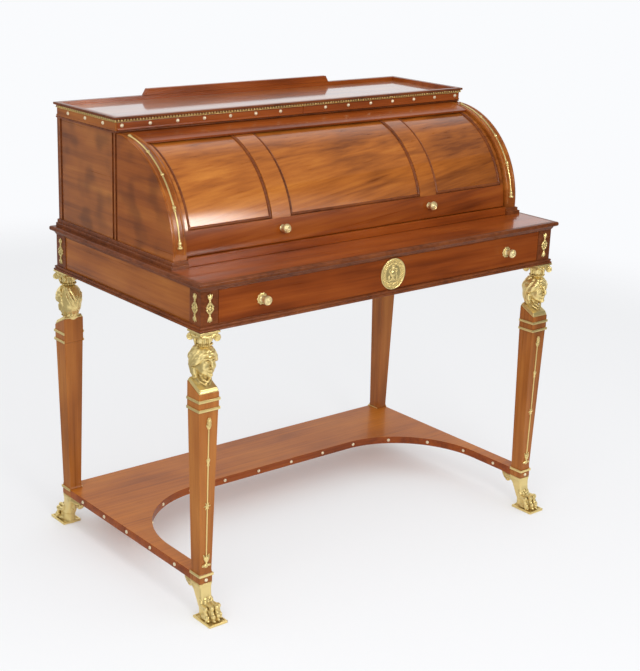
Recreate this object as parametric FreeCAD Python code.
import FreeCAD, Part
import math
import os

Vector = FreeCAD.Vector

# A cylinder desk, in millimetres. X runs to the right, Y to the back and Z up.
# The origin is on the floor, under the middle of the desk.

# Table top
TABLE_WIDTH = 1104.0
TABLE_DEPTH = 628.0
TABLE_HEIGHT = 780.0
TABLE_EDGE_HEIGHT = 11.0
TABLE_EDGE_ROUND = 4.0
TABLE_BEVEL_HEIGHT = 9.0
TABLE_BEVEL_STEP = 7.0
TABLE_OVERHANG = 12.0

# Apron under the table top
APRON_HEIGHT = 88.0
POST_WIDTH = 45.0
POST_DEPTH = 42.0
APRON_BOARD = 18.0
APRON_SETBACK = 2.0
RAIL_HEIGHT = 12.0
RAIL_DEPTH = 60.0
APRON_MOULD_OUT = 6.0
APRON_MOULD_ROUND = 2.5
RUNNER_LEDGE = 20.0
RUNNER_GUIDE_HEIGHT = 16.0

# Long drawer in the apron
DRAWER_GAP = 1.0
DRAWER_FRONT_SETBACK = 0.5
DRAWER_FRONT_THICK = 20.0
LONG_BOX_SIDE_CLEAR = 5.0
LONG_BOX_BACK_CLEAR = 43.5
LONG_BOX_TOP_CLEAR = 12.0
LONG_BOX_BOARD = 10.0
LONG_BOTTOM_THICK = 5.0
LONG_BOTTOM_RISE = 6.0
RUN_CLEAR = 0.4
KNOB_SPREAD = 380.0
KNOB_RADIUS = 9.0
KNOB_LENGTH = 25.0
ROSETTE_RADIUS = 13.0
ROSETTE_THICK = 2.5
MEDALLION_RADIUS = 37.5
MEDALLION_THICK = 4.0
MEDALLION_RIM = 4.0

# Legs
LEG_TOP_WIDTH = 52.0
LEG_TOP_DEPTH = 46.0
LEG_FOOT_WIDTH = 34.0
LEG_FOOT_DEPTH = 38.0
LEG_HEAD_ROOM = 138.0
LEG_SLOPE_RISE = 23.0
SHAFT_TOP_STEP = 1.0
SHAFT_FOOT_STEP = 1.5
FOOT_BLOCK_RISE = 2.0
BAND_HEIGHT = 5.0
BAND_THICK = 2.5
BAND_PITCH = 21.0
BAND_DROP = 12.5
STAFF_WIDTH = 5.0
STAFF_THICK = 4.0
STAFF_TOP_DROP = 12.0
STAFF_FOOT_RISE = 15.5

# Capital and bust on each leg
CAPITAL_HEIGHT = 33.0
CAPITAL_WIDTH = 56.0
CAPITAL_DEPTH = 52.0
ABACUS_HEIGHT = 7.0
VOLUTE_RADIUS = 8.0
VOLUTE_THICK = 10.0
BUST_PLATE_THICK = 7.0
BUST_PLATE_INSET = 1.0
HEAD_RADIUS = 24.0
HAIR_RADIUS = 29.0
HAIR_SETBACK = 4.0
NECK_RADIUS = 13.0
CHEST_RADIUS = 20.0
HEAD_HEIGHT = 66.0

# Paw feet
PAW_HEIGHT = 84.0
PAW_PLATE_WIDTH = 50.0
PAW_PLATE_DEPTH = 66.0
PAW_PLATE_THICK = 6.0
PAW_REACH = 37.0
PAW_COLLAR_HEIGHT = 8.0
PAW_COLLAR_OUT = 1.0
TOE_RADIUS = 6.4
TOE_LENGTH = 26.0
TOE_COUNT = 4
BRACKET_REACH = 46.0
BRACKET_DROP = 34.0
BRACKET_THICK = 16.0

# Platform stretcher between the legs
PLATFORM_THICK = 20.0
PLATFORM_BACK_DEPTH = 190.0
PLATFORM_CUT_RADIUS = 246.0

# Case on the table: sides with a quarter-round front edge
CASE_INSET = 22.0
CASE_BACK_INSET = 10.0
SIDE_THICK = 36.0
SIDE_RADIUS = 233.0
SWING_CLEAR = 9.0
AXIS_RISE = 25.0
GROOVE_WIDTH = 4.5
GROOVE_DEPTH = 3.0
BACK_STILE = 14.0
MID_STILE = 6.0
CASE_BACK_THICK = 12.0
BACK_STILE_WIDTH = 60.0
BACK_PANEL_SINK = 4.0
BASE_LOW_HEIGHT = 9.0
BASE_LOW_OUT = 9.0
BASE_HIGH_HEIGHT = 8.0
BASE_HIGH_OUT = 5.0
BASE_ROUND = 2.0
ARCH_ROD_RADIUS = 2.6

# Cornice over the case
CORNICE_FORWARD = 6.0
DUST_BOARD = 5.0
DUST_SETBACK = 6.0
FRIEZE_HEIGHT = 19.0
FRIEZE_THICK = 12.0
FRIEZE_LIP = 3.6
FRIEZE_BEAD_HEIGHT = 3.5
FRIEZE_BEAD_OUT = 2.0
DIVIDER_THICK = 6.0
TOP_THICK = 12.0
TOP_LIP_HEIGHT = 5.0
TOP_OVERHANG = 6.0
TOP_RIM = 13.0
TOP_DISH = 6.0
GILT_STRIP_OUT = 4.0
GILT_STRIP_MARGIN = 0.5
GALLERY_WIDTH = 584.0
GALLERY_HEIGHT = 16.0
GALLERY_THICK = 12.0
GALLERY_CANT = 10.0
CORNICE_FRONT_THICK = 12.0
CORNICE_GAP = 0.5
CORNICE_BOX_BACK_CLEAR = 12.0
CORNICE_BOX_END_CLEAR = 5.0
CORNICE_BOX_BOARD = 6.0
CORNICE_BOTTOM_THICK = 3.0

# Cylinder fall and the rail above it
SHELL_DROP = 6.0
SHELL_THICK = 14.0
SHELL_END_CLEAR = 2.0
SHELL_FOOT_ANGLE = -1.0
SHELL_TOP_ANGLE = 80.0
RAIL_LOW_ANGLE = 72.0
RAIL_BACK_ANGLE = 100.0
RAIL_CLEAR = 0.8
PANEL_SINK = 3.0
PANEL_LOW_ANGLE = 13.0
PANEL_HIGH_ANGLE = 77.0
PANEL_END_STILE = 9.0
PANEL_STILE = 52.0
PANEL_STILE_PLACE = 228.0
PANEL_BEAD = 4.0
SHELL_KNOB_ANGLE = 7.0
SHELL_KNOB_LENGTH = 23.0

# Pivots of the cylinder
ARM_THICK = 6.0
ARM_SIDE_GAP = 8.0
ARM_BOSS_RADIUS = 16.0
ARM_SPOKE = 18.0
ARM_RIM = 18.0
ARM_LOW_ANGLE = 6.0
ARM_HIGH_ANGLE = 74.0
ARM_SPOKE_ANGLES = (9.0, 71.0)
PIN_RADIUS = 5.0
PIN_CLEAR = 0.05
PIN_SEAT = 18.0

# Writing slide under the cylinder
SLIDE_THICK = 19.0
SLIDE_LIP_DEPTH = 18.0
SLIDE_LIP_FORWARD = 3.0
SLIDE_LIP_END_CLEAR = 1.0
GUIDE_WIDTH = 6.0
GUIDE_ARM_GAP = 3.0
GUIDE_TONGUE = 5.0
GUIDE_TONGUE_HEIGHT = 6.0
GUIDE_FRONT_GAP = 3.0
GUIDE_TOP_CLEAR = 1.1
SLIDE_SIDE_CLEAR = 0.5
BEARER_DEPTH = 50.0
SLIDE_BACK_CLEAR = 6.0
LEATHER_BORDER = 30.0
LEATHER_THICK = 1.5

# Pigeonholes and small drawers inside the case
UNIT_SETBACK = 25.0
UNIT_HEIGHT = 124.0
UNIT_SHELL_CLEAR = 10.0
UNIT_BOARD = 8.0
UNIT_BACK_BOARD = 5.0
UNIT_DRAWER_HEIGHT = 49.0
UNIT_DRAWER_COUNT = 3
PIGEONHOLE_COUNT = 6
INNER_GAP = 0.5
INNER_FRONT_THICK = 10.0
INNER_BOARD = 5.0
INNER_BACK_CLEAR = 4.0
INNER_KNOB_RADIUS = 6.5
INNER_KNOB_LENGTH = 14.0

# Gilt drops on the corner posts
DROP_LENGTH = 62.0
DROP_WIDTH = 16.0
DROP_THICK = 3.0

# Sides of the carved forms that are made with flat facets
FACET_COUNT = 12

# One overrun serves every cut, and one tolerance every choice of edges
OVERRUN = 5.0
EDGE_MATCH = 0.01

# Turned knob, from its seat to its face: shares of its radius and of its length
KNOB_SHARES = ((0.62, 0.0), (0.42, 0.42), (1.0, 0.62), (1.0, 0.80), (0.60, 1.0))
ROSETTE_FACE_SHARE = 0.82
# Half outline of a corner drop, from its tip to its middle: shares of its half length and half width
DROP_SHARES = ((1.0, 0.15), (0.84, 0.50), (0.66, 0.24), (0.44, 0.24), (0.26, 0.85), (0.10, 1.0))
# Staff on a leg, from its tip to its foot: shares of its length and of its rod's width
STAFF_SHARES = ((0.0, 0.4), (0.07, 2.3), (0.10, 1.0), (0.31, 1.0), (0.32, 1.9), (0.34, 1.0),
                (0.60, 1.0), (0.62, 2.8), (0.64, 1.0), (0.92, 1.0), (0.95, 2.8), (1.0, 2.2))
# Knops on the rod of a case side: angles where they start, angles that they span, shares of the rod's radius
ARCH_LOW_ANGLE = 4.0
ARCH_HIGH_ANGLE = 83.0
ARCH_KNOP_ANGLES = (4.0, 24.0, 45.0, 62.0, 79.5)
ARCH_KNOP_SPAN_ANGLES = (4.0, 3.5, 1.2, 1.2, 3.5)
ARCH_KNOP_SHARES = (2.6, 1.9, 1.8, 1.8, 1.7)
# Ankle rings: shares of the foot's height and reach, and of the collar's half sizes
ANKLE_SHARES = ((0.07, 0.74, 1.20), (0.40, 0.34, 0.90), (0.62, 0.10, 0.76), (0.92, 0.0, 0.94))
TOE_SPREAD_SHARE = 0.96
TOE_RISE_SHARE = 0.65
# Place where the bracket's hollow curve passes: shares of its reach and drop
BRACKET_BOW_SHARES = (0.40, 0.38)
# Capital: bow of the abacus, foot and lip of the bell, and lift of the scrolls into the abacus
ABACUS_BOW_SHARE = 0.10
BELL_FOOT_SHARE = 0.62
BELL_LIP_SHARE = 0.80
VOLUTE_LIFT_SHARE = 0.40
# Egg form of the head and of the hair: shares of the radius and of the height
EGG_SHARES = ((0.45, 0.0), (0.84, 0.22), (1.0, 0.52), (0.90, 0.80), (0.62, 1.0))
HAIR_FOOT_SHARE = 0.22
FACE_WIDTH_SHARE = 0.80
FACE_DEPTH_SHARE = 0.30
FOREHEAD_SHARE = 0.50
CHEST_RISE_SHARE = 0.50

# Places that follow from the sizes
TABLE_X = TABLE_WIDTH / 2
TABLE_Y = TABLE_DEPTH / 2
EDGE_UNDER_Z = TABLE_HEIGHT - TABLE_EDGE_HEIGHT
APRON_TOP_Z = EDGE_UNDER_Z - TABLE_BEVEL_HEIGHT
APRON_FOOT_Z = APRON_TOP_Z - APRON_HEIGHT
APRON_X = TABLE_X - TABLE_OVERHANG
APRON_Y = TABLE_Y - TABLE_OVERHANG
POST_X = APRON_X - POST_WIDTH
POST_Y = APRON_Y - POST_DEPTH
BOARD_X = APRON_X - APRON_SETBACK
BOARD_Y = APRON_Y - APRON_SETBACK
RAIL_TOP_Z = APRON_FOOT_Z + RAIL_HEIGHT
LONG_FRONT_Y = DRAWER_FRONT_SETBACK - APRON_Y
LONG_BOX_X = POST_X - LONG_BOX_SIDE_CLEAR
LONG_BOX_Y = LONG_FRONT_Y + DRAWER_FRONT_THICK
LONG_BOX_Z = RAIL_TOP_Z + RUN_CLEAR
LONG_BOX_BACK_Y = BOARD_Y - APRON_BOARD - LONG_BOX_BACK_CLEAR
LONG_MID_Z = (RAIL_TOP_Z + APRON_TOP_Z) / 2

LEG_X = APRON_X + APRON_MOULD_OUT - LEG_TOP_WIDTH / 2
LEG_Y = APRON_Y + APRON_MOULD_OUT - LEG_TOP_DEPTH / 2
SLOPE_LOW_Z = APRON_FOOT_Z - LEG_HEAD_ROOM
SLOPE_HIGH_Z = SLOPE_LOW_Z + LEG_SLOPE_RISE
BLOCK_FOOT_Z = SLOPE_LOW_Z - BAND_DROP - BAND_PITCH - BAND_HEIGHT
PLATFORM_TOP_Z = PAW_HEIGHT + PLATFORM_THICK
FOOT_BLOCK_Z = PLATFORM_TOP_Z + FOOT_BLOCK_RISE
STAFF_LENGTH = BLOCK_FOOT_Z - STAFF_TOP_DROP - FOOT_BLOCK_Z - STAFF_FOOT_RISE
CAPITAL_FOOT_Z = APRON_FOOT_Z - CAPITAL_HEIGHT
HEAD_FOOT_Z = CAPITAL_FOOT_Z - HEAD_HEIGHT

PLATFORM_X = LEG_X + LEG_FOOT_WIDTH / 2
PLATFORM_Y = LEG_Y + LEG_FOOT_DEPTH / 2
PLATFORM_NOTCH_X = LEG_X - LEG_FOOT_WIDTH / 2
PLATFORM_NOTCH_Y = LEG_Y - LEG_FOOT_DEPTH / 2
CUT_BACK_Y = PLATFORM_Y - PLATFORM_BACK_DEPTH
CUT_FLAT_X = PLATFORM_NOTCH_X - PLATFORM_CUT_RADIUS

CASE_X = TABLE_X - CASE_INSET
CASE_IN_X = CASE_X - SIDE_THICK
CASE_BACK_Y = TABLE_Y - CASE_BACK_INSET
CASE_PANEL_Y = CASE_BACK_Y - CASE_BACK_THICK
AXIS_Y = CASE_PANEL_Y - SWING_CLEAR - SIDE_RADIUS
CASE_FRONT_Y = AXIS_Y - SIDE_RADIUS
AXIS_Z = TABLE_HEIGHT + AXIS_RISE
CASE_TOP_Z = AXIS_Z + SIDE_RADIUS

FRIEZE_FRONT_Y = AXIS_Y - CORNICE_FORWARD
FRIEZE_Z = CASE_TOP_Z + DUST_BOARD
TOP_Z = FRIEZE_Z + FRIEZE_HEIGHT
TOP_LIP_Z = TOP_Z + TOP_THICK - TOP_LIP_HEIGHT
TOP_SURFACE_Z = TOP_Z + TOP_THICK

SHELL_OUT_R = SIDE_RADIUS - SHELL_DROP
SHELL_IN_R = SHELL_OUT_R - SHELL_THICK
SHELL_X = CASE_IN_X - SHELL_END_CLEAR
ARM_OUT_X = CASE_IN_X - ARM_SIDE_GAP
ARM_IN_X = ARM_OUT_X - ARM_THICK

SLIDE_Z = TABLE_HEIGHT + RUN_CLEAR
SLIDE_TOP_Z = SLIDE_Z + SLIDE_THICK
SLIDE_FRONT_Y = CASE_FRONT_Y - SLIDE_LIP_FORWARD
SLIDE_LIP_Y = SLIDE_FRONT_Y + SLIDE_LIP_DEPTH
GUIDE_X = ARM_IN_X - GUIDE_ARM_GAP
GUIDE_IN_X = GUIDE_X - GUIDE_WIDTH
UNIT_Z = SLIDE_TOP_Z + GUIDE_TOP_CLEAR
UNIT_TOP_Z = UNIT_Z + UNIT_HEIGHT
UNIT_FRONT_Y = AXIS_Y + UNIT_SETBACK
UNIT_BACK_Y = AXIS_Y + math.sqrt((SHELL_IN_R - UNIT_SHELL_CLEAR) ** 2 - (UNIT_TOP_Z - AXIS_Z) ** 2)
UNIT_IN_X = GUIDE_X - UNIT_BOARD
SHELF_Z = UNIT_Z + UNIT_BOARD + UNIT_DRAWER_HEIGHT
SLIDE_BACK_Y = UNIT_BACK_Y - BEARER_DEPTH - SLIDE_BACK_CLEAR
BAY_WIDTH = (2 * UNIT_IN_X - (UNIT_DRAWER_COUNT - 1) * UNIT_BOARD) / UNIT_DRAWER_COUNT
HOLE_WIDTH = (2 * UNIT_IN_X - (PIGEONHOLE_COUNT - 1) * UNIT_BOARD) / PIGEONHOLE_COUNT


def block(x0, x1, y0, y1, z0, z1):
    """Box between two corners."""
    return Part.makeBox(x1 - x0, y1 - y0, z1 - z0, Vector(x0, y0, z0))


def mirrored(shape, axis):
    """Mirror image across the middle of the desk, along the X or the Y axis."""
    normal = Vector(1, 0, 0) if axis == "x" else Vector(0, 1, 0)
    return shape.mirror(Vector(0, 0, 0), normal)


def pair(shape):
    """A piece on the right and its mirror image on the left."""
    return [shape, mirrored(shape, "x")]


def joined(shapes):
    """One solid from pieces that overlap or share faces."""
    return shapes[0].fuse(shapes[1:]).removeSplitter()


def line(start, end):
    return Part.LineSegment(start, end).toShape()


def arc(start, middle, end):
    return Part.Arc(start, middle, end).toShape()


def face(edges):
    return Part.Face(Part.Wire(edges))


def polygon(points):
    return Part.Face(Part.makePolygon(points + points[:1]))


def tapered(x, y, low_z, high_z, low_x, low_y, high_x, high_y):
    """Upright block around a centre, with its half sizes at the foot and at the top."""
    wedge = Part.makeWedge(-low_x, low_z, -low_y, -high_y, -high_x, low_x, high_z, low_y, high_y, high_x)
    wedge.rotate(Vector(0, 0, 0), Vector(1, 0, 0), 90)
    wedge.translate(Vector(x, y, 0))
    return wedge


def ring(x, y, z, half_x, half_y):
    """Corners of a level many-sided ring around a centre."""
    turns = [2 * math.pi * (side + 0.5) / FACET_COUNT for side in range(FACET_COUNT)]
    return [Vector(x + half_x * math.cos(turn), y + half_y * math.sin(turn), z) for turn in turns]


def stacked(rings):
    """Solid with flat facets through level rings that are alike in form."""
    faces = [polygon(rings[0]), polygon(rings[-1])]
    for low, high in zip(rings, rings[1:]):
        for side in range(FACET_COUNT):
            after = (side + 1) % FACET_COUNT
            faces.append(polygon([low[side], low[after], high[after], high[side]]))
    return Part.makeSolid(Part.makeShell(faces))


def faceted(points):
    """Many-sided upright form about Z from (radius, height) points."""
    return stacked([ring(0, 0, height, radius, radius) for radius, height in points])


def on_arc(radius, angle, x):
    """Point around the cylinder's axis; 0 degrees is level to the front and 90 is straight up."""
    turn = math.radians(angle)
    return Vector(x, AXIS_Y - radius * math.cos(turn), AXIS_Z + radius * math.sin(turn))


def axis_arc(radius, start, end, x):
    return arc(on_arc(radius, start, x), on_arc(radius, (start + end) / 2, x), on_arc(radius, end, x))


def curved_bar(inner, outer, low, high, x0, x1):
    """Bar of constant wall around the cylinder's axis, from x0 to x1."""
    section = face([
        axis_arc(inner, low, high, x0),
        line(on_arc(inner, high, x0), on_arc(outer, high, x0)),
        axis_arc(outer, high, low, x0),
        line(on_arc(outer, low, x0), on_arc(inner, low, x0)),
    ])
    return section.extrude(Vector(x1 - x0, 0, 0))


def aimed(shape, base, direction):
    """Place a piece that was made upright on the origin."""
    turn = FreeCAD.Rotation(Vector(0, 0, 1), direction)
    shape.Placement = FreeCAD.Placement(base, turn)
    return shape


def turned(points):
    """Solid of revolution about Z from (radius, height) points, closed along the axis."""
    outline = [Vector(0, 0, points[0][1])]
    outline += [Vector(radius, 0, height) for radius, height in points]
    outline.append(Vector(0, 0, points[-1][1]))
    return polygon(outline).revolve(Vector(0, 0, 0), Vector(0, 0, 1), 360)


def knob(base, direction, radius, length):
    """Turned knob: a neck that swells into a head with a flat face."""
    points = [(radius * wide, length * along) for wide, along in KNOB_SHARES]
    return aimed(faceted(points), base, direction)


def level_edges(shape):
    """Edges that lie level."""
    return [e for e in shape.Edges if abs(e.Vertexes[0].Z - e.Vertexes[1].Z) < EDGE_MATCH]


def table_top():
    edge = block(-TABLE_X, TABLE_X, -TABLE_Y, TABLE_Y, EDGE_UNDER_Z, TABLE_HEIGHT)
    edge = edge.makeFillet(TABLE_EDGE_ROUND, level_edges(edge))
    bevel = tapered(0, 0, APRON_TOP_Z, EDGE_UNDER_Z, APRON_X, APRON_Y, TABLE_X - TABLE_BEVEL_STEP,
                    TABLE_Y - TABLE_BEVEL_STEP)
    return [joined([edge, bevel])]


def corner_posts():
    post = block(POST_X, APRON_X, -APRON_Y, -POST_Y, APRON_FOOT_Z, APRON_TOP_Z)
    return pair(post) + pair(mirrored(post, "y"))


def apron_boards():
    side = block(BOARD_X - APRON_BOARD, BOARD_X, -POST_Y, POST_Y, APRON_FOOT_Z, APRON_TOP_Z)
    back = block(-POST_X, POST_X, BOARD_Y - APRON_BOARD, BOARD_Y, APRON_FOOT_Z, APRON_TOP_Z)
    return pair(side) + [back]


def front_rail():
    front = -BOARD_Y
    return [block(-POST_X, POST_X, front, RAIL_DEPTH - APRON_Y, APRON_FOOT_Z, RAIL_TOP_Z)]


def apron_moulding():
    """Moulding round the foot of the apron: long lengths at the front and back, short ones between."""
    out_x = APRON_X + APRON_MOULD_OUT
    out_y = APRON_Y + APRON_MOULD_OUT
    front = block(-out_x, out_x, -out_y, -APRON_Y, APRON_FOOT_Z, RAIL_TOP_Z)
    side = block(APRON_X, out_x, -APRON_Y, APRON_Y, APRON_FOOT_Z, RAIL_TOP_Z)
    front = front.makeFillet(APRON_MOULD_ROUND, outer_edges(front, "y", -out_y))
    side = side.makeFillet(APRON_MOULD_ROUND, outer_edges(side, "x", out_x))
    return [front, mirrored(front, "y")] + pair(side)


def outer_edges(shape, axis, place):
    """Long level edges in the plane at a place along an axis."""
    pick = (lambda v: v.X) if axis == "x" else (lambda v: v.Y)
    return [e for e in level_edges(shape) if all(abs(pick(v) - place) < EDGE_MATCH for v in e.Vertexes)]


def drawer_runners():
    """Ledge under each side of the long drawer, with a guide beside it."""
    front = RAIL_DEPTH - APRON_Y
    wall = BOARD_X - APRON_BOARD
    ledge = block(LONG_BOX_X - RUNNER_LEDGE, wall, front, POST_Y, APRON_FOOT_Z, RAIL_TOP_Z)
    guide = block(LONG_BOX_X + RUN_CLEAR, wall, front, POST_Y, RAIL_TOP_Z, RAIL_TOP_Z + RUNNER_GUIDE_HEIGHT)
    return pair(joined([ledge, guide]))


def drawer_box(x0, x1, y0, y1, z0, z1, board, bottom, bottom_rise):
    """Two sides, a back and a bottom of a drawer, as separate boards behind its front."""
    floor_z = z0 + bottom_rise
    return [
        block(x0, x0 + board, y0, y1, z0, z1),
        block(x1 - board, x1, y0, y1, z0, z1),
        block(x0 + board, x1 - board, y1 - board, y1, z0, z1),
        block(x0 + board, x1 - board, y0, y1 - board, floor_z, floor_z + bottom),
    ]


def long_drawer_front():
    x = POST_X - DRAWER_GAP
    return [block(-x, x, LONG_FRONT_Y, LONG_BOX_Y, RAIL_TOP_Z + DRAWER_GAP, APRON_TOP_Z - DRAWER_GAP)]


def long_drawer_box():
    return drawer_box(-LONG_BOX_X, LONG_BOX_X, LONG_BOX_Y, LONG_BOX_BACK_Y, LONG_BOX_Z,
                      APRON_TOP_Z - LONG_BOX_TOP_CLEAR, LONG_BOX_BOARD, LONG_BOTTOM_THICK, LONG_BOTTOM_RISE)


def drawer_knobs():
    seat = Vector(KNOB_SPREAD, LONG_FRONT_Y - ROSETTE_THICK, LONG_MID_Z)
    return pair(knob(seat, Vector(0, -1, 0), KNOB_RADIUS, KNOB_LENGTH))


def drawer_mounts():
    """Round medallion with a raised rim on the long drawer, and a rosette under each knob."""
    field = MEDALLION_RADIUS - MEDALLION_RIM
    floor = MEDALLION_THICK / 2
    medallion = turned([(MEDALLION_RADIUS, 0), (field + MEDALLION_RIM / 2, MEDALLION_THICK), (field, floor),
                        (field / 2, MEDALLION_THICK)])
    rosette = faceted([(ROSETTE_RADIUS, 0), (ROSETTE_RADIUS * ROSETTE_FACE_SHARE, ROSETTE_THICK)])
    out = Vector(0, -1, 0)
    medallion = aimed(medallion, Vector(0, LONG_FRONT_Y, LONG_MID_Z), out)
    return [medallion] + pair(aimed(rosette, Vector(KNOB_SPREAD, LONG_FRONT_Y, LONG_MID_Z), out))


def leg():
    """Front right leg: foot block, tapered shaft and a block with a sloped top."""
    y = -LEG_Y
    foot = block(LEG_X - LEG_FOOT_WIDTH / 2, LEG_X + LEG_FOOT_WIDTH / 2, y - LEG_FOOT_DEPTH / 2,
                 y + LEG_FOOT_DEPTH / 2, PAW_HEIGHT, FOOT_BLOCK_Z)
    shaft = tapered(LEG_X, y, FOOT_BLOCK_Z, BLOCK_FOOT_Z, LEG_FOOT_WIDTH / 2 - SHAFT_FOOT_STEP,
                    LEG_FOOT_DEPTH / 2 - SHAFT_FOOT_STEP, LEG_TOP_WIDTH / 2 - SHAFT_TOP_STEP,
                    LEG_TOP_DEPTH / 2 - SHAFT_TOP_STEP)
    front = y - LEG_TOP_DEPTH / 2
    back = y + LEG_TOP_DEPTH / 2
    side = LEG_X - LEG_TOP_WIDTH / 2
    top = polygon([Vector(side, front, BLOCK_FOOT_Z), Vector(side, back, BLOCK_FOOT_Z),
                   Vector(side, back, SLOPE_HIGH_Z), Vector(side, front, SLOPE_LOW_Z)])
    return joined([foot, shaft, top.extrude(Vector(LEG_TOP_WIDTH, 0, 0))])


def band(half_x, half_y, z):
    """Gilt band round the outer three faces of the front right leg."""
    outer = block(LEG_X - half_x - BAND_THICK, LEG_X + half_x + BAND_THICK, -LEG_Y - half_y - BAND_THICK,
                  half_y - LEG_Y, z, z + BAND_HEIGHT)
    core = block(LEG_X - half_x, LEG_X + half_x, -LEG_Y - half_y, half_y - LEG_Y + OVERRUN,
                 z, z + BAND_HEIGHT)
    return outer.cut(core)


def leg_bands():
    first_z = SLOPE_LOW_Z - BAND_DROP - BAND_HEIGHT
    bands = [band(LEG_TOP_WIDTH / 2, LEG_TOP_DEPTH / 2, first_z),
             band(LEG_TOP_WIDTH / 2, LEG_TOP_DEPTH / 2, first_z - BAND_PITCH),
             band(LEG_FOOT_WIDTH / 2, LEG_FOOT_DEPTH / 2, FOOT_BLOCK_Z - BAND_HEIGHT)]
    board = platform()[0]
    solids = []
    for piece in bands:
        solids += pair(piece)
        solids += [back.cut(board) for back in pair(mirrored(piece, "y"))]
    return solids


def leg_staffs():
    """Gilt staff with a cone, collar, flower and foot, flat on the outward face of each leg."""
    right = [(STAFF_WIDTH / 2 * wide, -STAFF_LENGTH * along) for along, wide in STAFF_SHARES]
    edge = right + [(-wide, rise) for wide, rise in right[::-1]]
    plate = polygon([Vector(wide, 0, rise) for wide, rise in edge]).extrude(Vector(0, -STAFF_THICK, 0))
    rise = BLOCK_FOOT_Z - FOOT_BLOCK_Z
    lean = (LEG_TOP_DEPTH / 2 - SHAFT_TOP_STEP - LEG_FOOT_DEPTH / 2 + SHAFT_FOOT_STEP) / rise
    face_y = -LEG_Y - LEG_TOP_DEPTH / 2 + SHAFT_TOP_STEP + lean * STAFF_TOP_DROP
    staff = aimed(plate, Vector(LEG_X, face_y, BLOCK_FOOT_Z - STAFF_TOP_DROP), Vector(0, -lean, 1))
    return pair(staff) + pair(mirrored(staff, "y"))


def capital():
    """Capital of the front right leg: hollow-sided abacus, bell and a scroll at each corner."""
    half_x = CAPITAL_WIDTH / 2
    half_y = CAPITAL_DEPTH / 2
    y = -LEG_Y
    bow = CAPITAL_WIDTH * ABACUS_BOW_SHARE
    abacus_z = APRON_FOOT_Z - ABACUS_HEIGHT
    edge = [(-half_x, -half_y), (0, bow - half_y), (half_x, -half_y), (half_x - bow, 0),
            (half_x, half_y), (0, half_y - bow), (-half_x, half_y), (bow - half_x, 0)]
    abacus = polygon([Vector(LEG_X + across, y + along, abacus_z) for across, along in edge])
    abacus = abacus.extrude(Vector(0, 0, ABACUS_HEIGHT))
    bell = faceted([(half_y * BELL_FOOT_SHARE, CAPITAL_FOOT_Z), (half_y * BELL_LIP_SHARE, abacus_z)])
    bell = aimed(bell, Vector(LEG_X, y, 0), Vector(0, 0, 1))
    scrolls = []
    for side_x, side_y in ((1, 1), (1, -1), (-1, 1), (-1, -1)):
        across = Vector(-side_y, side_x, 0).normalize()
        centre = Vector(LEG_X + side_x * (half_x - VOLUTE_RADIUS), y + side_y * (half_y - VOLUTE_RADIUS),
                        abacus_z - VOLUTE_RADIUS * (1 - VOLUTE_LIFT_SHARE))
        scroll = faceted([(VOLUTE_RADIUS, 0), (VOLUTE_RADIUS, VOLUTE_THICK)])
        scrolls.append(aimed(scroll, centre - across * (VOLUTE_THICK / 2), across))
    return joined([abacus, bell] + scrolls)


def bust():
    """Bust of the front right leg: sloped plate, chest, neck, and a head framed by hair."""
    y = -LEG_Y
    front = y - LEG_TOP_DEPTH / 2 + BUST_PLATE_INSET
    back = y + LEG_TOP_DEPTH / 2 - BUST_PLATE_INSET
    slope = LEG_SLOPE_RISE / LEG_TOP_DEPTH
    front_z = SLOPE_LOW_Z + slope * BUST_PLATE_INSET
    back_z = SLOPE_HIGH_Z - slope * BUST_PLATE_INSET
    side = LEG_X - LEG_TOP_WIDTH / 2 + BUST_PLATE_INSET
    plate = polygon([Vector(side, front, front_z), Vector(side, back, back_z),
                     Vector(side, back, back_z + BUST_PLATE_THICK),
                     Vector(side, front, front_z + BUST_PLATE_THICK)])
    plate = plate.extrude(Vector(LEG_TOP_WIDTH - 2 * BUST_PLATE_INSET, 0, 0))
    chest_z = SLOPE_LOW_Z + LEG_SLOPE_RISE * CHEST_RISE_SHARE + BUST_PLATE_THICK / 2
    chest = faceted([(CHEST_RADIUS, chest_z), (NECK_RADIUS, HEAD_FOOT_Z)])
    chest = aimed(chest, Vector(LEG_X, y, 0), Vector(0, 0, 1))
    head = egg(LEG_X, y, HEAD_FOOT_Z, HEAD_RADIUS)
    hair_z = HEAD_FOOT_Z - HEAD_HEIGHT * HAIR_FOOT_SHARE
    hair = egg(LEG_X, y + HAIR_SETBACK, hair_z, HAIR_RADIUS)
    face_x = HEAD_RADIUS * FACE_WIDTH_SHARE
    window = block(LEG_X - face_x, LEG_X + face_x, y - HAIR_RADIUS - OVERRUN,
                   y - HEAD_RADIUS * FACE_DEPTH_SHARE, hair_z - OVERRUN,
                   CAPITAL_FOOT_Z - HEAD_RADIUS * FOREHEAD_SHARE)
    return joined([plate, chest, hair.cut(window), head]).cut(leg())


def egg(x, y, foot_z, radius):
    """Egg from a foot up to the capital, with a narrow foot and a flat crown."""
    height = CAPITAL_FOOT_Z - foot_z
    points = [(radius * wide, foot_z + height * rise) for wide, rise in EGG_SHARES]
    return aimed(faceted(points), Vector(x, y, 0), Vector(0, 0, 1))


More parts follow.
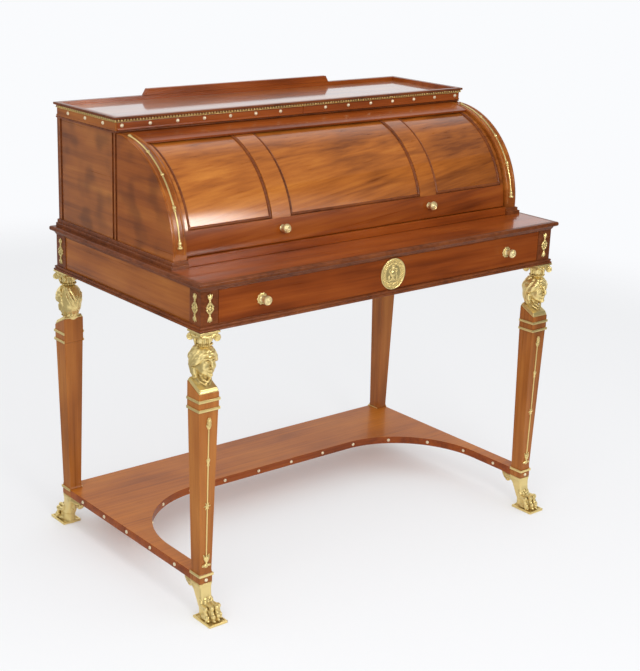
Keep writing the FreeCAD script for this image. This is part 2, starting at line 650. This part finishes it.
def paw_foot():
    """Paw foot of the front right leg: plate, toes, ankle, collar and the bracket under the platform."""
    y = -LEG_Y
    half_x = LEG_FOOT_WIDTH / 2 + PAW_COLLAR_OUT
    half_y = LEG_FOOT_DEPTH / 2 + PAW_COLLAR_OUT
    plate_y = y - PAW_REACH
    plate = block(LEG_X - PAW_PLATE_WIDTH / 2, LEG_X + PAW_PLATE_WIDTH / 2, plate_y - PAW_PLATE_DEPTH / 2,
                  plate_y + PAW_PLATE_DEPTH / 2, 0, PAW_PLATE_THICK)
    collar = block(LEG_X - half_x, LEG_X + half_x, y - half_y, y + half_y,
                   PAW_HEIGHT - PAW_COLLAR_HEIGHT, PAW_HEIGHT)
    ankle = stacked([ring(LEG_X, y - PAW_REACH * reach, PAW_HEIGHT * rise, half_x * size, half_y * size)
                     for rise, reach, size in ANKLE_SHARES])
    return joined([plate, collar, ankle, bracket(y + LEG_FOOT_DEPTH / 2)] + toes(plate_y))


def toes(plate_y):
    """Round-topped toes side by side at the front of the plate."""
    spread = (PAW_PLATE_WIDTH / 2 - TOE_RADIUS) * TOE_SPREAD_SHARE
    tip_y = plate_y - PAW_PLATE_DEPTH / 2 + PAW_PLATE_THICK
    z = PAW_PLATE_THICK + TOE_RADIUS * TOE_RISE_SHARE
    solids = []
    for index in range(TOE_COUNT):
        x = LEG_X + spread * (2 * index / (TOE_COUNT - 1) - 1)
        left = Vector(x - TOE_RADIUS, tip_y, z)
        right = Vector(x + TOE_RADIUS, tip_y, z)
        drop = Vector(0, 0, PAW_PLATE_THICK - z)
        arch = face([arc(left, Vector(x, tip_y, z + TOE_RADIUS), right), line(right, right + drop),
                     line(right + drop, left + drop), line(left + drop, left)])
        solids.append(arch.extrude(Vector(0, TOE_LENGTH, 0)))
    return solids


def bracket(start_y):
    """Leaf bracket with a hollow curve, from the foot along the platform's underside."""
    side = LEG_X - BRACKET_THICK / 2
    inner = start_y - LEG_FOOT_DEPTH / 2
    low_z = PAW_HEIGHT - BRACKET_DROP
    reach, drop = BRACKET_BOW_SHARES
    bow = Vector(side, start_y + BRACKET_REACH * reach, PAW_HEIGHT - BRACKET_DROP * drop)
    end = Vector(side, start_y + BRACKET_REACH, PAW_HEIGHT)
    leaf = face([
        line(Vector(side, inner, PAW_HEIGHT), end),
        arc(end, bow, Vector(side, start_y, low_z)),
        line(Vector(side, start_y, low_z), Vector(side, inner, low_z)),
        line(Vector(side, inner, low_z), Vector(side, inner, PAW_HEIGHT)),
    ])
    return leaf.extrude(Vector(BRACKET_THICK, 0, 0))


def platform():
    """Board between the legs with a deep front cut: straight arms, round corners, straight back."""
    z = PAW_HEIGHT
    arm = -PLATFORM_NOTCH_Y
    side = PLATFORM_NOTCH_X
    bend_y = CUT_BACK_Y - PLATFORM_CUT_RADIUS
    slack = PLATFORM_CUT_RADIUS * math.sqrt(0.5)
    bow_x = CUT_FLAT_X + slack
    bow_y = bend_y + slack
    outline = face([
        line(Vector(side, arm, z), Vector(side, bend_y, z)),
        arc(Vector(side, bend_y, z), Vector(bow_x, bow_y, z), Vector(CUT_FLAT_X, CUT_BACK_Y, z)),
        line(Vector(CUT_FLAT_X, CUT_BACK_Y, z), Vector(-CUT_FLAT_X, CUT_BACK_Y, z)),
        arc(Vector(-CUT_FLAT_X, CUT_BACK_Y, z), Vector(-bow_x, bow_y, z), Vector(-side, bend_y, z)),
        line(Vector(-side, bend_y, z), Vector(-side, arm, z)),
        line(Vector(-side, arm, z), Vector(-PLATFORM_X, arm, z)),
        line(Vector(-PLATFORM_X, arm, z), Vector(-PLATFORM_X, -arm, z)),
        line(Vector(-PLATFORM_X, -arm, z), Vector(-side, -arm, z)),
        line(Vector(-side, -arm, z), Vector(-side, PLATFORM_Y, z)),
        line(Vector(-side, PLATFORM_Y, z), Vector(side, PLATFORM_Y, z)),
        line(Vector(side, PLATFORM_Y, z), Vector(side, -arm, z)),
        line(Vector(side, -arm, z), Vector(PLATFORM_X, -arm, z)),
        line(Vector(PLATFORM_X, -arm, z), Vector(PLATFORM_X, arm, z)),
        line(Vector(PLATFORM_X, arm, z), Vector(side, arm, z)),
    ])
    return [outline.extrude(Vector(0, 0, PLATFORM_THICK))]


def corner_drops():
    """Slender gilt drops on both outer faces of every corner post."""
    half = [(DROP_WIDTH / 2 * wide, DROP_LENGTH / 2 * along) for along, wide in DROP_SHARES]
    edge = half + [(wide, -rise) for wide, rise in half[::-1]]
    edge += [(-wide, rise) for wide, rise in edge[::-1]]
    plate = polygon([Vector(wide, 0, rise) for wide, rise in edge]).extrude(Vector(0, -DROP_THICK, 0))
    side = plate.rotated(Vector(0, 0, 0), Vector(0, 0, 1), 90)
    plate.translate(Vector(APRON_X - POST_WIDTH / 2, -APRON_Y, LONG_MID_Z))
    side.translate(Vector(APRON_X, POST_DEPTH / 2 - APRON_Y, LONG_MID_Z))
    front = pair(plate) + pair(side)
    return front + [mirrored(drop, "y") for drop in front]


def case_side():
    """Right side of the case: quarter-round front edge, three upright grooves and the pin's seat."""
    x = CASE_IN_X
    outline = face([
        line(Vector(x, CASE_FRONT_Y, TABLE_HEIGHT), Vector(x, CASE_FRONT_Y, AXIS_Z)),
        axis_arc(SIDE_RADIUS, 0, 90, x),
        line(Vector(x, AXIS_Y, CASE_TOP_Z), Vector(x, CASE_BACK_Y, CASE_TOP_Z)),
        line(Vector(x, CASE_BACK_Y, CASE_TOP_Z), Vector(x, CASE_BACK_Y, TABLE_HEIGHT)),
        line(Vector(x, CASE_BACK_Y, TABLE_HEIGHT), Vector(x, CASE_FRONT_Y, TABLE_HEIGHT)),
    ])
    side = outline.extrude(Vector(SIDE_THICK, 0, 0))
    groove_z = TABLE_HEIGHT + BASE_LOW_HEIGHT + BASE_HIGH_HEIGHT
    starts = (CASE_BACK_Y - BACK_STILE - GROOVE_WIDTH, AXIS_Y + MID_STILE / 2,
              AXIS_Y - MID_STILE / 2 - GROOVE_WIDTH)
    for y in starts:
        side = side.cut(block(CASE_X - GROOVE_DEPTH, CASE_X + OVERRUN, y, y + GROOVE_WIDTH, groove_z,
                              CASE_TOP_Z + OVERRUN))
    seat = Vector(CASE_IN_X, AXIS_Y, AXIS_Z)
    hole = Part.makeCylinder(PIN_RADIUS + PIN_CLEAR, PIN_SEAT, seat, Vector(1, 0, 0))
    return side.cut(hole)


def case_back():
    """Back board of the case with two sunk panels on its outer face."""
    back = block(-CASE_IN_X, CASE_IN_X, CASE_PANEL_Y, CASE_BACK_Y, TABLE_HEIGHT, CASE_TOP_Z)
    panel = block(BACK_STILE_WIDTH / 2, CASE_IN_X - BACK_STILE_WIDTH, CASE_BACK_Y - BACK_PANEL_SINK,
                  CASE_BACK_Y + OVERRUN, TABLE_HEIGHT + BACK_STILE_WIDTH, CASE_TOP_Z - BACK_STILE_WIDTH)
    return [back.cut(pair(panel))]


def base_moulding():
    """Stepped moulding along the foot of each case side, returned across its front."""
    foot = block(CASE_IN_X - OVERRUN, CASE_X, CASE_FRONT_Y, CASE_BACK_Y + OVERRUN, TABLE_HEIGHT, AXIS_Z)
    steps = []
    z = TABLE_HEIGHT
    for height, out in ((BASE_LOW_HEIGHT, BASE_LOW_OUT), (BASE_HIGH_HEIGHT, BASE_HIGH_OUT)):
        step = block(CASE_IN_X, CASE_X + out, CASE_FRONT_Y - out, CASE_BACK_Y, z, z + height)
        top = [e for e in level_edges(step) if e.CenterOfMass.z > z + height / 2
               and (e.CenterOfMass.x > CASE_X or e.CenterOfMass.y < CASE_FRONT_Y)]
        steps.append(step.makeFillet(BASE_ROUND, top))
        z += height
    return pair(joined(steps).cut(foot))


def arch_rods():
    """Gilt rod on the round front edge of each case side: half round, with knops along it."""
    x = CASE_X - SIDE_THICK / 2
    pieces = [half_round(x, ARCH_ROD_RADIUS, ARCH_LOW_ANGLE, ARCH_HIGH_ANGLE)]
    for start, span, share in zip(ARCH_KNOP_ANGLES, ARCH_KNOP_SPAN_ANGLES, ARCH_KNOP_SHARES):
        pieces.append(half_round(x, ARCH_ROD_RADIUS * share, start, start + span))
    return pair(joined(pieces))


def half_round(x, radius, low, high):
    """Bar with a rounded back that follows the side's front edge between two angles."""
    base = on_arc(SIDE_RADIUS, low, x)
    out = on_arc(SIDE_RADIUS + radius, low, x) - base
    across = Vector(radius, 0, 0)
    turns = [math.radians(angle) for angle in (0, 60, 120, 180)]
    section = polygon([base + across * math.cos(turn) + out * math.sin(turn) for turn in turns])
    return section.revolve(Vector(x, AXIS_Y, AXIS_Z), Vector(-1, 0, 0), high - low)


def dust_board():
    """Board over the case that carries the cornice drawers, and the divider between them."""
    board = block(-CASE_X, CASE_X, FRIEZE_FRONT_Y + DUST_SETBACK, CASE_BACK_Y, CASE_TOP_Z, FRIEZE_Z)
    divider = block(-DIVIDER_THICK / 2, DIVIDER_THICK / 2, FRIEZE_FRONT_Y + CORNICE_FRONT_THICK + DRAWER_GAP,
                    CASE_BACK_Y - FRIEZE_THICK, FRIEZE_Z, TOP_Z)
    return [board, divider]


def cornice_frieze():
    """Side friezes with a lip that covers the drawer's end and a bead at the foot, and the back frieze."""
    side = block(CASE_X - FRIEZE_THICK, CASE_X, FRIEZE_FRONT_Y, CASE_BACK_Y, FRIEZE_Z, TOP_Z)
    lap = block(CASE_X - FRIEZE_THICK - OVERRUN, CASE_X - FRIEZE_LIP, FRIEZE_FRONT_Y - OVERRUN,
                FRIEZE_FRONT_Y + CORNICE_FRONT_THICK + DRAWER_GAP, FRIEZE_Z - OVERRUN, TOP_Z + OVERRUN)
    bead = block(CASE_X, CASE_X + FRIEZE_BEAD_OUT, FRIEZE_FRONT_Y, CASE_BACK_Y, FRIEZE_Z,
                 FRIEZE_Z + FRIEZE_BEAD_HEIGHT)
    inner = CASE_X - FRIEZE_THICK
    back = block(-inner, inner, CASE_BACK_Y - FRIEZE_THICK, CASE_BACK_Y, FRIEZE_Z, TOP_Z)
    return pair(joined([side.cut(lap), bead])) + [back]


def top_board():
    """Dished top: a projecting lip over the gilt strip, and a rim round a sunk field."""
    low = block(-CASE_X, CASE_X, FRIEZE_FRONT_Y, CASE_BACK_Y, TOP_Z, TOP_LIP_Z)
    lip_x = CASE_X + TOP_OVERHANG
    lip_front = FRIEZE_FRONT_Y - TOP_OVERHANG
    lip_back = CASE_BACK_Y + TOP_OVERHANG
    lip = block(-lip_x, lip_x, lip_front, lip_back, TOP_LIP_Z, TOP_SURFACE_Z)
    dish = block(TOP_RIM - lip_x, lip_x - TOP_RIM, lip_front + TOP_RIM, lip_back - TOP_RIM,
                 TOP_SURFACE_Z - TOP_DISH, TOP_SURFACE_Z + OVERRUN)
    return [joined([low, lip]).cut(dish)]


def gallery():
    """Raised board at the middle of the back rim, with canted ends."""
    y = CASE_BACK_Y + TOP_OVERHANG - GALLERY_THICK
    half = GALLERY_WIDTH / 2
    top = TOP_SURFACE_Z + GALLERY_HEIGHT
    outline = polygon([Vector(-half, y, TOP_SURFACE_Z), Vector(half, y, TOP_SURFACE_Z),
                       Vector(half - GALLERY_CANT, y, top), Vector(GALLERY_CANT - half, y, top)])
    return [outline.extrude(Vector(0, GALLERY_THICK, 0))]


def gilt_strips():
    """Gilt strip under the top's lip: one length across the front and one along each side."""
    low = TOP_Z + GILT_STRIP_MARGIN
    high = TOP_LIP_Z
    out_x = CASE_X + GILT_STRIP_OUT
    out_y = FRIEZE_FRONT_Y - GILT_STRIP_OUT
    front = block(-out_x, out_x, out_y, FRIEZE_FRONT_Y, low, high)
    side = block(CASE_X, out_x, FRIEZE_FRONT_Y, CASE_BACK_Y, low, high)
    return [front] + pair(side)


def cornice_drawer_front():
    """Right cornice drawer front, with a small bead along its foot."""
    start = CORNICE_GAP
    end = CASE_X - FRIEZE_LIP - CORNICE_GAP
    low = FRIEZE_Z + CORNICE_GAP
    front = block(start, end, FRIEZE_FRONT_Y, FRIEZE_FRONT_Y + CORNICE_FRONT_THICK, low, TOP_Z - CORNICE_GAP)
    bead = block(start, end, FRIEZE_FRONT_Y - FRIEZE_BEAD_OUT, FRIEZE_FRONT_Y, low, low + FRIEZE_BEAD_HEIGHT)
    return joined([front, bead])


def cornice_drawer_box():
    y = FRIEZE_FRONT_Y + CORNICE_FRONT_THICK
    start = DIVIDER_THICK / 2 + CORNICE_BOX_END_CLEAR
    end = CASE_X - FRIEZE_THICK - CORNICE_BOX_END_CLEAR
    back = CASE_BACK_Y - FRIEZE_THICK - CORNICE_BOX_BACK_CLEAR
    return drawer_box(start, end, y, back, FRIEZE_Z + RUN_CLEAR, TOP_Z - FRIEZE_BEAD_HEIGHT,
                      CORNICE_BOX_BOARD, CORNICE_BOTTOM_THICK, 0)


def top_rail():
    """Fixed rail over the cylinder's upper edge, hung from the dust board."""
    x = -CASE_IN_X
    inner = SHELL_OUT_R + RAIL_CLEAR
    back = on_arc(inner, RAIL_BACK_ANGLE, x)
    roof_back = Vector(x, back.y, CASE_TOP_Z)
    section = face([
        axis_arc(inner, RAIL_BACK_ANGLE, RAIL_LOW_ANGLE, x),
        line(on_arc(inner, RAIL_LOW_ANGLE, x), on_arc(SIDE_RADIUS, RAIL_LOW_ANGLE, x)),
        axis_arc(SIDE_RADIUS, RAIL_LOW_ANGLE, 90, x),
        line(Vector(x, AXIS_Y, CASE_TOP_Z), roof_back),
        line(roof_back, back),
    ])
    return [section.extrude(Vector(2 * CASE_IN_X, 0, 0))]


def panel_spans():
    """Left and right ends of the three sunk panels of the cylinder."""
    end = SHELL_X - PANEL_END_STILE
    near = PANEL_STILE_PLACE - PANEL_STILE / 2
    far = PANEL_STILE_PLACE + PANEL_STILE / 2
    return [(-end, -far), (-near, near), (far, end)]


def cylinder_shell():
    """Quarter-cylinder fall with three sunk panels that run up under the fixed rail."""
    shell = curved_bar(SHELL_IN_R, SHELL_OUT_R, SHELL_FOOT_ANGLE, SHELL_TOP_ANGLE, -SHELL_X, SHELL_X)
    floor = SHELL_OUT_R - PANEL_SINK
    for start, end in panel_spans():
        sunk = curved_bar(floor, SHELL_OUT_R + OVERRUN, PANEL_LOW_ANGLE, PANEL_HIGH_ANGLE, start, end)
        shell = shell.cut(sunk)
    return [shell]


def panel_mouldings():
    """Bead down both sides and along the foot of each sunk panel."""
    floor = SHELL_OUT_R - PANEL_SINK
    foot_angle = PANEL_LOW_ANGLE + math.degrees(PANEL_BEAD / SHELL_OUT_R)
    solids = []
    for start, end in panel_spans():
        spans = ((start, start + PANEL_BEAD, PANEL_HIGH_ANGLE), (end - PANEL_BEAD, end, PANEL_HIGH_ANGLE),
                 (start, end, foot_angle))
        solids.append(joined([curved_bar(floor, SHELL_OUT_R, PANEL_LOW_ANGLE, high, x0, x1)
                              for x0, x1, high in spans]))
    return solids


def cylinder_knobs():
    base = on_arc(SHELL_OUT_R, SHELL_KNOB_ANGLE, PANEL_STILE_PLACE)
    out = on_arc(SHELL_OUT_R + SHELL_KNOB_LENGTH, SHELL_KNOB_ANGLE, PANEL_STILE_PLACE) - base
    seat = base - out.normalize() * RUN_CLEAR
    piece = knob(seat, out, KNOB_RADIUS, SHELL_KNOB_LENGTH)
    shell = curved_bar(SHELL_IN_R, SHELL_OUT_R, SHELL_FOOT_ANGLE, PANEL_LOW_ANGLE, 0, SHELL_X)
    return pair(piece.cut(shell))


def pivot_arms():
    """Iron arm inside each end of the cylinder: boss, two spokes and a rim under the shell."""
    rim = curved_bar(SHELL_IN_R - ARM_RIM, SHELL_IN_R - PIN_CLEAR, ARM_LOW_ANGLE, ARM_HIGH_ANGLE,
                     ARM_IN_X, ARM_OUT_X)
    centre = Vector(ARM_IN_X, AXIS_Y, AXIS_Z)
    pieces = [rim, Part.makeCylinder(ARM_BOSS_RADIUS, ARM_THICK, centre, Vector(1, 0, 0))]
    reach = SHELL_IN_R - ARM_RIM / 2
    for angle in ARM_SPOKE_ANGLES:
        spoke = block(ARM_IN_X, ARM_OUT_X, AXIS_Y - reach, AXIS_Y, AXIS_Z - ARM_SPOKE / 2,
                      AXIS_Z + ARM_SPOKE / 2)
        spoke.rotate(centre, Vector(-1, 0, 0), angle)
        pieces.append(spoke)
    hole = Part.makeCylinder(PIN_RADIUS + PIN_CLEAR, ARM_THICK, centre, Vector(1, 0, 0))
    return pair(joined(pieces).cut(hole))


def pivot_pins():
    """Pins in the case sides that carry the arms."""
    length = CASE_IN_X + PIN_SEAT - ARM_IN_X
    return pair(Part.makeCylinder(PIN_RADIUS, length, Vector(ARM_IN_X, AXIS_Y, AXIS_Z), Vector(1, 0, 0)))


def tongue(clear):
    """Tongue of the right guide, or with clearance the groove that it runs in."""
    middle = SLIDE_Z + SLIDE_THICK / 2
    half = GUIDE_TONGUE_HEIGHT / 2 + clear
    return block(GUIDE_IN_X - GUIDE_TONGUE - clear, GUIDE_IN_X, SLIDE_LIP_Y + GUIDE_FRONT_GAP, UNIT_BACK_Y,
                 middle - half, middle + half)


def slide_guides():
    """Guides beside the writing slide, which also carry the pigeonholes, and the bearer behind it."""
    bar = block(GUIDE_IN_X, GUIDE_X, SLIDE_LIP_Y + GUIDE_FRONT_GAP, UNIT_BACK_Y, TABLE_HEIGHT, UNIT_Z)
    bearer = block(-GUIDE_IN_X, GUIDE_IN_X, UNIT_BACK_Y - BEARER_DEPTH, UNIT_BACK_Y, TABLE_HEIGHT, UNIT_Z)
    return pair(joined([bar, tongue(0)]).cut(bearer)) + [bearer]


def leather_field():
    """Corners of the leather on the writing slide."""
    x = GUIDE_IN_X - LEATHER_BORDER
    return -x, x, SLIDE_LIP_Y + LEATHER_BORDER, SLIDE_BACK_Y - LEATHER_BORDER


def writing_slide():
    """Slide with a full-width front edge, grooved sides and a sunk field for the leather."""
    lip_x = CASE_IN_X - SLIDE_LIP_END_CLEAR
    body_x = GUIDE_IN_X - SLIDE_SIDE_CLEAR
    lip = block(-lip_x, lip_x, SLIDE_FRONT_Y, SLIDE_LIP_Y, SLIDE_Z, SLIDE_TOP_Z)
    body = block(-body_x, body_x, SLIDE_LIP_Y, SLIDE_BACK_Y, SLIDE_Z, SLIDE_TOP_Z)
    x0, x1, y0, y1 = leather_field()
    field = block(x0, x1, y0, y1, SLIDE_TOP_Z - LEATHER_THICK, SLIDE_TOP_Z + OVERRUN)
    groove = tongue(SLIDE_SIDE_CLEAR)
    return [joined([lip, body]).cut(pair(groove) + [field])]


def writing_leather():
    x0, x1, y0, y1 = leather_field()
    return [block(x0, x1, y0, y1, SLIDE_TOP_Z - LEATHER_THICK, SLIDE_TOP_Z)]


def pigeonhole_unit():
    """Boards of the fitted inside: floor, shelf, roof, ends, back and the uprights between the bays."""
    y0 = UNIT_FRONT_Y
    y1 = UNIT_BACK_Y
    inner_back = y1 - UNIT_BACK_BOARD
    boards = [
        block(-GUIDE_X, GUIDE_X, y0, y1, UNIT_Z, UNIT_Z + UNIT_BOARD),
        block(-GUIDE_X, GUIDE_X, y0, y1, UNIT_TOP_Z - UNIT_BOARD, UNIT_TOP_Z),
        block(-UNIT_IN_X, UNIT_IN_X, y0, inner_back, SHELF_Z, SHELF_Z + UNIT_BOARD),
        block(-UNIT_IN_X, UNIT_IN_X, inner_back, y1, UNIT_Z + UNIT_BOARD, UNIT_TOP_Z - UNIT_BOARD),
    ]
    boards += pair(block(UNIT_IN_X, GUIDE_X, y0, y1, UNIT_Z + UNIT_BOARD, UNIT_TOP_Z - UNIT_BOARD))
    for index in range(1, UNIT_DRAWER_COUNT):
        x = index * (BAY_WIDTH + UNIT_BOARD) - UNIT_IN_X
        boards.append(block(x - UNIT_BOARD, x, y0, inner_back, UNIT_Z + UNIT_BOARD, SHELF_Z))
    for index in range(1, PIGEONHOLE_COUNT):
        x = index * (HOLE_WIDTH + UNIT_BOARD) - UNIT_IN_X
        boards.append(block(x - UNIT_BOARD, x, y0, inner_back, SHELF_Z + UNIT_BOARD, UNIT_TOP_Z - UNIT_BOARD))
    return boards


def inner_drawer(index):
    """One small drawer: a front, the boards behind it and a turned knob."""
    start = index * (BAY_WIDTH + UNIT_BOARD) - UNIT_IN_X + INNER_GAP
    end = start + BAY_WIDTH - 2 * INNER_GAP
    low = UNIT_Z + UNIT_BOARD + INNER_GAP
    high = SHELF_Z - INNER_GAP
    back = UNIT_FRONT_Y + INNER_FRONT_THICK
    front = block(start, end, UNIT_FRONT_Y, back, low, high)
    seat = Vector((start + end) / 2, UNIT_FRONT_Y, (low + high) / 2)
    pull = knob(seat, Vector(0, -1, 0), INNER_KNOB_RADIUS, INNER_KNOB_LENGTH)
    box_back = UNIT_BACK_Y - UNIT_BACK_BOARD - INNER_BACK_CLEAR
    return [front, pull] + drawer_box(start, end, back, box_back, low, high, INNER_BOARD, INNER_BOARD, 0)


def sided(name, right):
    """Nodes for pieces on the right of the desk and for their mirror images on the left."""
    return {name + "_right": right, name + "_left": [mirrored(solid, "x") for solid in right]}


def desk():
    """Every node of the desk and its solids."""
    nodes = {}
    nodes.update(sided("leg_front", [leg()]))
    nodes.update(sided("leg_back", [mirrored(leg(), "y")]))
    for name, piece in (("capitals", capital()), ("busts", bust()), ("paw_feet", paw_foot())):
        nodes[name + "_front"] = pair(piece)
        nodes[name + "_back"] = pair(mirrored(piece, "y"))
    for make in (leg_bands, leg_staffs, platform, corner_posts, apron_boards, front_rail, apron_moulding,
                 drawer_runners, corner_drops, table_top, case_back, base_moulding, arch_rods, dust_board,
                 cornice_frieze, top_board, gallery, gilt_strips, top_rail, slide_guides, pigeonhole_unit,
                 pivot_pins, pivot_arms, cylinder_shell, panel_mouldings, cylinder_knobs, writing_slide,
                 writing_leather, long_drawer_front, long_drawer_box, drawer_mounts, drawer_knobs):
        nodes[make.__name__] = make()
    nodes.update(sided("case_side", [case_side()]))
    nodes.update(sided("cornice_drawer_front", [cornice_drawer_front()]))
    nodes.update(sided("cornice_drawer_box", cornice_drawer_box()))
    for index, place in enumerate(("left", "middle", "right")):
        nodes["inner_drawer_" + place] = inner_drawer(index)
    return nodes


os.makedirs("parts", exist_ok=True)
for node, solids in desk().items():
    shape = solids[0] if len(solids) == 1 else Part.makeCompound(solids)
    shape.exportStep("parts/" + node + ".step")
